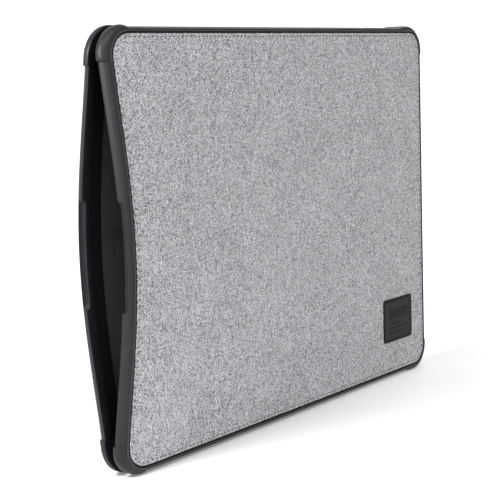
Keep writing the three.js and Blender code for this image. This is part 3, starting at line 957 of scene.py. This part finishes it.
class SLEEVE_OT_welts(bpy.types.Operator):
    """Black welt in the groove between the frame and the fabric"""
    bl_idname = "sleeve.welts"
    bl_label = "Seam Welts"

    def execute(self, context):
        f = rubber_frame()

        def section(s):
            ease, height = 0.04 * MM, 0.18 * MM
            near, far = s.width - f.groove + ease, s.width - ease
            middle, half_width = (near + far) / 2, (far - near) / 2
            top, foot = HALF - f.welt_drop, f.flange_outer + 0.1 * MM
            turns = [k / 6 * math.pi for k in range(7)]
            crown = [(middle - half_width * math.cos(t), top - height * (1 - math.sin(t))) for t in turns]
            return [(near, foot), *crown, (far, foot)]

        stations = frame_stations()
        for face, side in FACES:
            points = carry(stations, section, side)
            faces = ring_faces(*points.shape[:2], closed=True)
            piece = new_object(f"{face}_welt", points, faces, material("welt"), sharp=50)
            bend_with_lip(piece)
            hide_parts(f"{face}_seam_welt", f"{face}_mouth_welt")
        return {"FINISHED"}


def cover_layer():
    radius = rubber_frame().fabric_radius
    return Layer(MOUTH_INSET, LENGTH - EDGE_INSET, EDGE_INSET, HEIGHT - EDGE_INSET,
                 (radius,) * 3, cells=(110, 74))


def cover_height(distance, u, h):
    """Outside of a fabric panel: turned edge, stitch channel, and a slight crown over the foam."""
    p = panels()
    edge = p.fold_radius * (rolled(distance, p.fold_radius) - 1)
    seam = p.seam_depth * math.exp(-((distance - p.seam_inset) / p.seam_width) ** 2)
    full_at, ripple_height, rippled_at = 8 * MM, 0.035 * MM, 6 * MM
    crown = p.crown * float(smooth((distance - p.seam_inset) / full_at))
    ripple = ripple_height * np.sin(u / (19 * MM) + 1.3) * np.sin(h / (15 * MM) + 0.4)
    return HALF + edge - seam + crown + ripple * min(1, distance / rippled_at)


class SLEEVE_OT_covers(bpy.types.Operator):
    """Heathered fabric panel on the front and the back, with its edge turned under"""
    bl_idname = "sleeve.covers"
    bl_label = "Fabric Covers"

    def execute(self, context):
        p = panels()
        layer = cover_layer()
        outer = [d * MM for d in (0, 0.05, 0.14, 0.26, 0.4, 0.7, 1.0, 1.25, 1.45, 1.65, 1.8, 1.95, 2.15, 2.4,
                                  2.8, 3.4, 4.5, 6, 8.5)]
        inner = [d * MM for d in (0, 0.05, 0.14, 0.3, 1.5, 6)]
        under = p.cover - p.fold_radius
        for face, side in FACES:
            piece = layer.solid(
                f"{face}_fabric",
                (outer, lambda d, u, h: side * cover_height(d, u, h)),
                (inner, lambda d, u, h: side * (HALF - p.fold_radius - under * rolled(d, under))),
                material("weave"))
            bend_with_lip(piece)
            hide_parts(f"{face}_cover", f"{face}_mouth_cover")
        return {"FINISHED"}


def stitch_tree():
    """Geometry nodes: an arched stitch at every pitch along a line, with a dark disc of painted shadow for
    its needle hole.
    """
    tree = bpy.data.node_groups.new("stitch_line", "GeometryNodeTree")
    interface = tree.interface
    interface.new_socket("Geometry", in_out="INPUT", socket_type="NodeSocketGeometry")
    sockets = {}
    for name, kind in (("Pitch", "Float"), ("Stitch Length", "Float"), ("Thread Radius", "Float"),
                       ("Facing", "Vector"), ("Seed", "Int"), ("Thread", "Material"), ("Hole", "Material")):
        socket = interface.new_socket(name, in_out="INPUT", socket_type=f"NodeSocket{kind}")
        sockets[name] = socket.identifier
    interface.new_socket("Geometry", in_out="OUTPUT", socket_type="NodeSocketGeometry")
    nodes, links = tree.nodes, tree.links
    given, result = nodes.new("NodeGroupInput"), nodes.new("NodeGroupOutput")

    def node(kind, settings=None, inputs=None):
        made = nodes.new(kind)
        for key, value in (settings or {}).items():
            setattr(made, key, value)
        for key, value in (inputs or {}).items():
            feed(tree, made.inputs[key], value)
        return made

    def scaled(value, factor):
        return node("ShaderNodeMath", {"operation": "MULTIPLY"}, {0: value, 1: factor}).outputs[0]

    def vector(x, z):
        return node("ShaderNodeCombineXYZ", {}, {0: x, 2: z}).outputs[0]

    reach, radius = given.outputs["Stitch Length"], given.outputs["Thread Radius"]
    sunk, raised, hole_reach = -1.6, 1.9, 2.9  # in radii of the thread
    arch = node("GeometryNodeCurveQuadraticBezier", {}, {
        "Resolution": 6,
        "Start": vector(scaled(reach, -0.5), scaled(radius, sunk)),
        "Middle": vector(0.0, scaled(radius, raised)),
        "End": vector(scaled(reach, 0.5), scaled(radius, sunk))})
    ring = node("GeometryNodeCurvePrimitiveCircle", {}, {"Resolution": 6, "Radius": radius})
    stitch = node("GeometryNodeCurveToMesh", {}, {
        "Curve": arch.outputs[0], "Profile Curve": ring.outputs[0], "Fill Caps": True})
    thread = node("GeometryNodeSetMaterial", {}, {
        "Geometry": stitch.outputs[0], "Material": given.outputs["Thread"]})
    # Painted shadow: a flattened near-black disc, barely above the fabric, stands for the shade in the needle
    # hole.
    ball = node("GeometryNodeMeshIcoSphere", {}, {"Radius": scaled(radius, hole_reach), "Subdivisions": 2})
    dimple = node("GeometryNodeTransform", {}, {
        "Geometry": ball.outputs[0],
        "Translation": vector(scaled(given.outputs["Pitch"], 0.5), scaled(radius, -0.5)),
        "Scale": (1.2, 0.9, 0.2)})
    hole = node("GeometryNodeSetMaterial", {}, {
        "Geometry": dimple.outputs[0], "Material": given.outputs["Hole"]})
    both = node("GeometryNodeJoinGeometry")
    links.new(thread.outputs[0], both.inputs[0])
    links.new(hole.outputs[0], both.inputs[0])
    line = node("GeometryNodeResampleCurve", {"mode": "LENGTH"}, {
        "Curve": given.outputs["Geometry"], "Length": given.outputs["Pitch"]})
    tangent = node("GeometryNodeInputTangent")
    along = node("FunctionNodeAlignRotationToVector", {"axis": "X"}, {"Vector": tangent.outputs[0]})
    upright = node("FunctionNodeAlignRotationToVector", {"axis": "Z", "pivot_axis": "X"}, {
        "Rotation": along.outputs[0], "Vector": given.outputs["Facing"]})
    least, most = 0.92, 1.06
    size = node("FunctionNodeRandomValue", {"data_type": "FLOAT"}, {
        2: least, 3: most, "Seed": given.outputs["Seed"]})
    copies = node("GeometryNodeInstanceOnPoints", {}, {
        "Points": line.outputs[0], "Instance": both.outputs[0], "Rotation": upright.outputs[0],
        "Scale": size.outputs[1]})
    real = node("GeometryNodeRealizeInstances", {}, {"Geometry": copies.outputs[0]})
    links.new(real.outputs[0], result.inputs[0])
    return tree, sockets


class SLEEVE_OT_stitches(bpy.types.Operator):
    """A line of stitches round each fabric panel"""
    bl_idname = "sleeve.stitches"
    bl_label = "Stitches"

    def execute(self, context):
        p = panels()
        tree, sockets = stitch_tree()
        radius = rubber_frame().fabric_radius
        ring = cover_layer().ring(p.seam_inset / radius)
        steps = np.diff(np.r_[ring, ring[:1]], axis=0)
        way = float(np.hypot(steps[:, 0], steps[:, 1]).sum())
        pitch = way / round(way / p.stitch_pitch)
        for face, side in FACES:
            level = cover_height(p.seam_inset, ring[:, 0], ring[:, 1]) + 0.5 * p.thread_radius
            line = settle(ring[:, 0], side * level, ring[:, 1])
            curve = bpy.data.curves.new(f"{face}_stitch_line", "CURVE")
            curve.dimensions = "3D"
            spline = curve.splines.new("POLY")
            spline.points.add(len(line) - 1)
            spline.points.foreach_set("co", np.c_[line, np.ones(len(line))].astype(np.float32).ravel())
            spline.use_cyclic_u = True
            guide = bpy.data.objects.new(f"{face}_stitch_line", curve)
            context.scene.collection.objects.link(guide)
            modifier = guide.modifiers.new("Stitches", "NODES")
            modifier.node_group = tree
            for name, value in (("Pitch", pitch), ("Stitch Length", p.stitch_length),
                                ("Thread Radius", p.thread_radius), ("Facing", (0.0, float(side), 0.0)),
                                ("Seed", p.seed), ("Thread", material("thread")), ("Hole", material("hole"))):
                modifier[sockets[name]] = value
            piece = plain_mesh(guide, f"{face}_stitches")
            bend_with_lip(piece)
        return {"FINISHED"}


def plain_mesh(guide, name):
    """The evaluated result of an object's nodes as a mesh of its own. The guide is removed."""
    evaluated = guide.evaluated_get(bpy.context.evaluated_depsgraph_get())
    mesh = bpy.data.meshes.new_from_object(evaluated)
    if not mesh.polygons:
        raise RuntimeError(f"{name} came out empty")
    bpy.data.objects.remove(guide)
    mesh.name = name
    mesh.polygons.foreach_set("use_smooth", [True] * len(mesh.polygons))
    piece = bpy.data.objects.new(name, mesh)
    bpy.context.scene.collection.objects.link(piece)
    return piece


def lining_wrinkle(u, h):
    """Faint wrinkles across the lining near the mouth, where the sleeve flexes."""
    creases = ((0.27, 0.22, 1.0), (0.72, -0.15, 0.7), (0.44, 0.1, 0.55))  # height, slope and strength
    near_mouth = np.exp(-((u - CREASE_U) / (22 * MM)) ** 2)
    fine = np.sin((h + 0.25 * u + 2.5 * MM * np.sin(u / (9 * MM))) / (0.52 * MM))
    patch = np.exp(-((h - CREASE_H) / (9 * MM)) ** 2)
    crease = sum(np.exp(-((h - share * HEIGHT - slope * (u - 25 * MM)) / (1.1 * MM)) ** 2) * weight
                 for share, slope, weight in creases)
    slow = 0.5 + 0.5 * np.sin(h / (11 * MM) + u / (24 * MM))
    return panels().wrinkle * (near_mouth * (0.6 * patch * fine + 1.3 * crease) + 0.5 * slow)


class SLEEVE_OT_linings(bpy.types.Operator):
    """Brushed lining on the inside of each panel"""
    bl_idname = "sleeve.linings"
    bl_label = "Linings"

    def execute(self, context):
        p, f = panels(), rubber_frame()
        rise = f.fabric_radius + EDGE_INSET - LINING_INSET
        radii = (f.fabric_radius + MOUTH_INSET - LINING_INSET, rise, rise)
        layer = Layer(LINING_INSET, LENGTH - LINING_INSET, LINING_INSET, HEIGHT - LINING_INSET, radii,
                      cells=(120, 150))
        rings = [d * MM for d in (0, 0.06, 0.2, 1, 3)]
        middle, half = p.lining_outer - p.lining / 2, p.lining / 2

        def wave(d, u, h):
            return lining_wrinkle(u, h) * min(1, d / (3 * MM))

        for face, side in FACES:
            piece = layer.solid(
                f"{face}_inner_lining",
                (rings, lambda d, u, h: side * (middle + half * rolled(d, half) - wave(d, u, h))),
                (rings, lambda d, u, h: side * (middle - half * rolled(d, half) - wave(d, u, h))),
                material("lining"))
            bend_with_lip(piece)
            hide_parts(f"{face}_lining", f"{face}_mouth_lining")
        return {"FINISHED"}


class SLEEVE_OT_facings(bpy.types.Operator):
    """Smooth strip inside the mouth: flush in the lip's seat, then down onto the lining"""
    bl_idname = "sleeve.facings"
    bl_label = "Mouth Facings"

    def execute(self, context):
        m, p, f = mouth(), panels(), rubber_frame()
        low, high = (corner.z - FOOT_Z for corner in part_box("front_mouth_facing"))
        radius, half = 0.3 * MM, p.facing / 2
        lip, jog = HALF - m.lip_depth, MOUTH_INSET - f.groove + radius
        turn = [d * MM for d in (0, 0.03, 0.1, 0.2, 0.3)]
        middle = [jog - radius, *(jog + p.facing_jog * k / 4 for k in range(5)), jog + p.facing_jog + radius,
                  *np.linspace(jog + 2.2 * MM, FACING_END - 1 * MM, 7)]
        heights = [*(low + d for d in turn), *np.arange(low + 1 * MM, high - 0.9 * MM, 1 * MM),
                   *(high - d for d in reversed(turn))]
        for face, side in FACES:
            rows = []
            shorter = f.back_foot if side > 0 else 0
            for h in np.interp(heights, (low, high), (low + shorter, high - shorter)):
                start = float(facing_edge(h)) + p.facing_ease
                ds = np.array([*(start + d for d in turn), *middle,
                               *(FACING_END - d for d in reversed(turn))])
                step = smooth((ds - jog) / p.facing_jog)
                centre = lip + half + (p.facing_outer - p.facing - lip) * step
                near = np.minimum(np.minimum(ds - start, FACING_END - ds), min(h - low, high - h) - shorter)
                thick = half * np.array([rolled(max(0, d), radius) for d in near])
                outline = np.concatenate([np.c_[ds, centre + thick], np.c_[ds, centre - thick][::-1]])
                rows.append(settle(outline[:, 0], side * outline[:, 1], h))
            faces = ring_faces(len(rows), len(rows[0]))
            piece = new_object(f"{face}_facing", np.array(rows), faces, material("facing"))
            bend_with_lip(piece)
            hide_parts(f"{face}_mouth_facing")
        return {"FINISHED"}


def rounded_rectangle(half_wide, half_tall, corner, turn_steps=6):
    """Outline of a rectangle about the origin, with rounded corners."""
    outline = []
    for way_wide, way_tall in ((1, 1), (1, -1), (-1, -1), (-1, 1)):
        for k in range(turn_steps + 1):
            turn = k / turn_steps * math.pi / 2
            out = (math.sin(turn), math.cos(turn))
            if way_wide != way_tall:
                out = out[::-1]
            outline.append((way_wide * (half_wide - corner + corner * out[0]),
                            way_tall * (half_tall - corner + corner * out[1])))
    return np.array(outline)


def padded_strip(name, start, end, across):
    """A crowned cushion from one (u, h) to another, its face a little fuller between the tacks."""
    start, end, across = (np.array(v, float) for v in (start, end, across))
    span = float(np.hypot(*(end - start)))
    steps, tacks = max(2, round(span / (2.5 * MM))), round(span / TACK_PITCH)
    flat_full, tack_full = 0.28 * MM, 0.3 * MM
    half_deep = (CUSHION_FACE - CUSHION_BACK) / 2 - CUSHION_SLACK
    deep, wide = rounded_rectangle(half_deep, CUSHION_HALF, CUSHION_CORNER).T
    crown = np.where(deep > 0, np.maximum(0, 1 - (wide / CUSHION_HALF) ** 2), 0)
    rings = []
    for i in range(steps + 1):
        share = i / steps
        end_round = rolled(min(share, 1 - share) * span, CUSHION_CORNER)
        fullness = flat_full + tack_full * math.sqrt(abs(math.sin(math.pi * share * tacks)))
        depth = ((CUSHION_FACE + CUSHION_BACK) / 2 - CUSHION_SLACK + deep * (0.7 + 0.3 * end_round)
                 + fullness * crown * end_round)
        centre = start + (end - start) * share
        rings.append(settle(centre[0] + across[0] * depth, wide * (0.82 + 0.18 * end_round),
                            centre[1] + across[1] * depth))
    count = len(rings[0])
    points, faces = np.concatenate(rings), ring_faces(len(rings), count)
    for first, ring in ((0, rings[0]), (steps * count, rings[-1])):
        faces += [(first + j, first + (j + 1) % count, len(points)) for j in range(count)]
        points = np.concatenate([points, ring.mean(0)[None]])
    return new_object(name, points, faces, material("lining"), sharp=70)


class SLEEVE_OT_edge_cushions(bpy.types.Operator):
    """Soft strip inside each rail, for the edge of the device"""
    bl_idname = "sleeve.edge_cushions"
    bl_label = "Edge Cushions"

    def execute(self, context):
        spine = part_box("spine_edge_cushion")
        strips = (
            ("top_edge_cushion", (MAIN_START, HEIGHT), (CUSHION_END, HEIGHT), (0, -1)),
            ("bottom_edge_cushion", (MAIN_START, 0), (CUSHION_END, 0), (0, 1)),
            ("spine_edge_cushion", (LENGTH, spine[0].z - FOOT_Z), (LENGTH, spine[1].z - FOOT_Z), (-1, 0)),
        )
        for node, start, end, across in strips:
            piece = padded_strip(node.replace("cushion", "pad"), start, end, across)
            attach(piece, "sleeve_body")
            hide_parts(node)
        return {"FINISHED"}


class SLEEVE_OT_label(bpy.types.Operator):
    """Soft patch with a raised border and plain embossed bars"""
    bl_idname = "sleeve.label"
    bl_label = "Label Patch"

    def execute(self, context):
        p = panels()
        low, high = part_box("label_patch")
        u0, u1 = low.x - MOUTH_X, high.x - MOUTH_X
        h0, h1 = low.z - FOOT_Z, high.z - FOOT_Z
        foot, top = -high.y - 0.05 * MM, -low.y
        bevel, drop, slope = 0.35 * MM, 0.26 * MM, 0.5 * MM

        def surface(d, u, h):
            from_side = np.minimum(np.minimum(u - u0, u1 - u), np.minimum(h - h0, h1 - h))
            field = smooth((from_side - p.label_border) / slope)
            return -(foot + (top - foot) * rolled(d, bevel) - drop * field)

        hair = 0.0002 * MM
        layer = Layer(u0, u1, h0, h1, (p.label_radius,) * 3, cells=(90, 90))
        rings = [d * MM for d in (0, 0.02, 0.07, 0.15, 0.25, 0.4, 0.8, 1.3)]
        parts = [layer.solid(
            "label_patch_soft", (rings, surface), ([0, 1 * MM], lambda d, u, h: -foot + hair),
            material("label"), sharp=45)]
        parts += self.bars((u0, u1 - u0), (h0, h1 - h0), top - drop)
        piece = join(*parts)
        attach(piece, "sleeve_body")
        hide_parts("label_patch")
        return {"FINISHED"}

    def bars(self, across, up, field):
        """Raised bars on the field of the patch, whose start and size across and up are given."""
        corner, bevel, raised, sunk = 0.45 * MM, 0.22 * MM, 0.17 * MM, 0.02 * MM
        rings = [d * MM for d in (0, 0.04, 0.1, 0.2)]
        made = []
        for number, (left, right, bottom, top) in enumerate(LABEL_MARKS):
            bar = Layer(across[0] + left * across[1], across[0] + right * across[1],
                        up[0] + bottom * up[1], up[0] + top * up[1], (corner,) * 3,
                        cells=(12, 3), turn_steps=5)
            made.append(bar.solid(
                f"label_bar_{number}", (rings, lambda d, u, h: -(field + raised * rolled(d, bevel))),
                ([0], lambda d, u, h: -(field - sunk * (d > 0))), material("label_mark"), sharp=45))
        return made


class SLEEVE_OT_inner_layers(bpy.types.Operator):
    """Finish of the foam and board inside the panels"""
    bl_idname = "sleeve.inner_layers"
    bl_label = "Foam and Board"

    def execute(self, context):
        for face, _ in FACES:
            for layer in ("foam", "board"):
                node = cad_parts[f"{face}_{layer}"]
                node.data.materials.clear()
                node.data.materials.append(material(layer))
        return {"FINISHED"}


class SLEEVE_OT_stage(bpy.types.Operator):
    """Pale floor with a swept wall, soft lights and the camera"""
    bl_idname = "sleeve.stage"
    bl_label = "Stage"

    def execute(self, context):
        stage = context.scene.sleeve_stage
        self.floor(stage)
        self.lights(context)
        self.camera(context, stage)
        context.scene.view_settings.view_transform = "Standard"
        return {"FINISHED"}

    def floor(self, stage):
        flat, sweep, turns = stage.floor_radius, stage.wall_radius, 96
        profile = [(r * flat, 0.0) for r in (0.0, 0.1, 0.3, 0.6, 1.0)]
        for k in range(1, 17):
            turn = k / 16 * math.pi / 2
            profile.append((flat + sweep * math.sin(turn), sweep * (1 - math.cos(turn))))
        angles = np.arange(turns) / turns * 2 * math.pi
        points = np.array([[(r * math.cos(a), r * math.sin(a), z - 0.02 * MM) for a in angles]
                           for r, z in profile])
        floor = new_object("studio_floor", points, ring_faces(len(profile), turns), self.paper(stage))
        if any(side.normal.z < 0 and side.center.z < 0.01 for side in floor.data.polygons):
            floor.data.flip_normals()

    def paper(self, stage):
        """Pale paper of the floor and the sweep, which glows more and more behind the sleeve."""
        r = Recipe("studio_floor", Specular_IOR_Level=0.1, Emission_Strength=1.0)
        tone = r.noise(6, 2, 0.5)
        tint = colours().floor
        axes = r.axes()
        away = axes.output("X") * math.sin(stage.heading) + axes.output("Y") * math.cos(stage.heading)
        return r.finish(
            Base_Color=r.mix(tone, shade(tint, 0.985), shade(tint, 1.015)), Roughness=0.85 + 0.05 * tone,
            Emission_Color=r.ramp(away, (0.0, 0.17), (0.6, stage.backdrop)))

    def lights(self, context):
        world = bpy.data.worlds.new("studio_world")
        world.use_nodes = True
        background = world.node_tree.nodes["Background"]
        background.inputs["Color"].default_value = (1, 1, 1, 1)
        background.inputs["Strength"].default_value = context.scene.sleeve_stage.world
        context.scene.world = world
        target = Vector((0, 0, HEIGHT / 2))
        lamps = (  # name, place, diameter and power
            ("key", (-0.60, -0.90, 1.50), 0.9, 14.3),
            ("mouth_light", (-0.52, 0.04, 0.38), 0.16, 3.4),
            ("rail_light", (1.0, 0.3, 0.95), 0.4, 2.2),
            ("front_fill", (-0.9, -1.9, 0.5), 1.6, 2.5),
            ("back_fill", (0.9, 1.9, 1.3), 1.6, 5),
        )
        for name, place, size, power in lamps:
            lamp = bpy.data.lights.new(name, "AREA")
            lamp.shape, lamp.size, lamp.energy = "DISK", size, power
            holder = bpy.data.objects.new(name, lamp)
            holder.location = place
            holder.rotation_mode = "QUATERNION"
            holder.rotation_quaternion = (target - Vector(place)).to_track_quat("-Z", "Y")
            context.scene.collection.objects.link(holder)

    def camera(self, context, stage):
        s, c = math.sin(stage.heading), math.cos(stage.heading)
        sp, cp = math.sin(stage.pitch), math.cos(stage.pitch)
        forward = Vector((cp * s, cp * c, -sp))
        level, upright = Vector((c, -s, 0)), Vector((sp * s, sp * c, cp))
        sr, cr = math.sin(stage.roll), math.cos(stage.roll)
        right, up = level * cr - upright * sr, level * sr + upright * cr
        data = bpy.data.cameras.new("camera")
        data.lens, data.sensor_width = stage.lens, 36
        data.clip_start, data.clip_end = 0.01, 50
        data.dof.use_dof = False
        holder = bpy.data.objects.new("camera", data)
        turn = Matrix((right, up, -forward)).transposed().to_4x4()
        holder.matrix_world = Matrix.Translation(Vector(stage.camera)) @ turn
        context.scene.collection.objects.link(holder)
        context.scene.camera = holder


OPERATORS = (
    SLEEVE_OT_frame, SLEEVE_OT_welts, SLEEVE_OT_covers, SLEEVE_OT_stitches, SLEEVE_OT_linings,
    SLEEVE_OT_facings, SLEEVE_OT_edge_cushions, SLEEVE_OT_label, SLEEVE_OT_inner_layers, SLEEVE_OT_stage,
)
GROUPS = {
    "sleeve_mouth": SleeveMouth, "sleeve_frame": SleeveFrame, "sleeve_panels": SleevePanels,
    "sleeve_colours": SleeveColours, "sleeve_stage": SleeveStage,
}


class SLEEVE_PT_panel(bpy.types.Panel):
    """Sizes, colours and pieces of the sleeve"""
    bl_label = "Slip-in Sleeve"
    bl_idname = "SLEEVE_PT_panel"
    bl_space_type = "VIEW_3D"
    bl_region_type = "UI"
    bl_category = "Sleeve"

    def draw(self, context):
        for group in GROUPS:
            settings = getattr(context.scene, group)
            box = self.layout.box()
            for key in settings.__annotations__:
                box.prop(settings, key)
        for operator in OPERATORS:
            self.layout.operator(operator.bl_idname)


def register():
    for kind in (*GROUPS.values(), *OPERATORS, SLEEVE_PT_panel):
        bpy.utils.register_class(kind)
    for name, group in GROUPS.items():
        setattr(bpy.types.Scene, name, bpy.props.PointerProperty(type=group))


def unregister():
    for name in GROUPS:
        delattr(bpy.types.Scene, name)
    for kind in reversed((*GROUPS.values(), *OPERATORS, SLEEVE_PT_panel)):
        bpy.utils.unregister_class(kind)


def main():
    register()
    bpy.ops.sleeve.stage()
    bpy.ops.sleeve.frame()
    bpy.ops.sleeve.welts()
    bpy.ops.sleeve.covers()
    bpy.ops.sleeve.stitches()
    bpy.ops.sleeve.linings()
    bpy.ops.sleeve.facings()
    bpy.ops.sleeve.edge_cushions()
    bpy.ops.sleeve.label()
    bpy.ops.sleeve.inner_layers()


if __name__ == "__main__":
    main()
